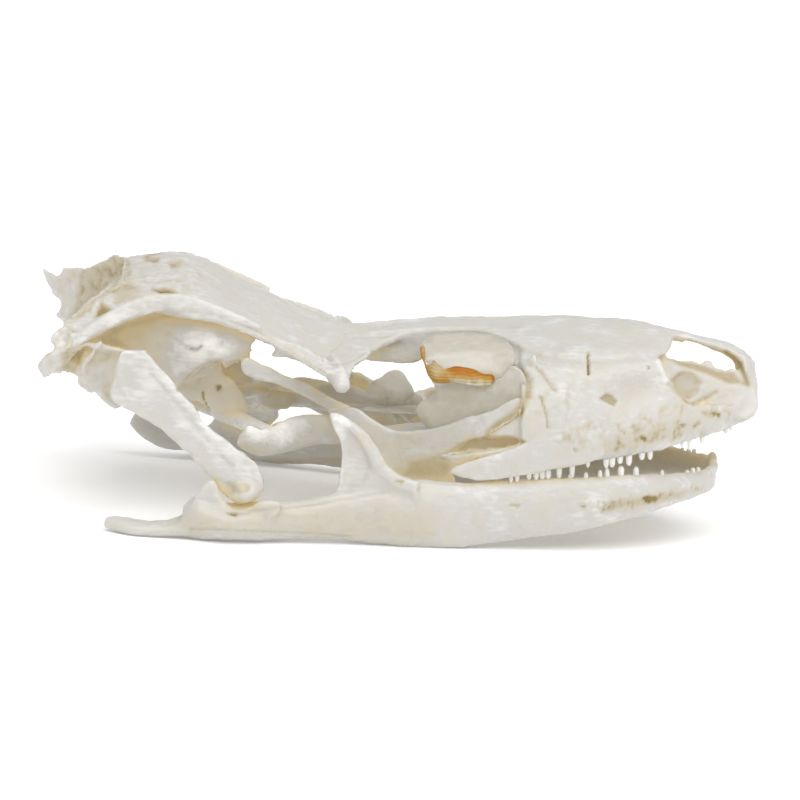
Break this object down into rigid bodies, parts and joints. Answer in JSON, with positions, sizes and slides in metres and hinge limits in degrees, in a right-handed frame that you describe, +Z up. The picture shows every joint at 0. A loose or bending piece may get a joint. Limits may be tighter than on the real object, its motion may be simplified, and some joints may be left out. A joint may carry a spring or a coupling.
{
  "type": "leopard gecko skull",
  "caption": "Dry prepared skull of a leopard gecko with its lower jaws in place and a dried eye in the orbit, for display or study.",
  "frame": {"origin": "middle of the bounding box at the height of the surface that the lower jaws rest on", "axes": "+X forwards to the snout, +Y to the skull's left, +Z up"},
  "size_m": [0.0306, 0.0188, 0.0102],
  "materials": {
    "bone": "satin",
    "dried_eye": "satin"
  },
  "bodies": {
    "root": {"cranium": "bone", "mandible_right": "bone", "mandible_left": "bone", "quadrate_right": "bone", "quadrate_left": "bone", "epipterygoid_right": "bone", "epipterygoid_left": "bone", "eye_right": "dried_eye", "eye_left": "dried_eye"}
  },
  "joints": []
}
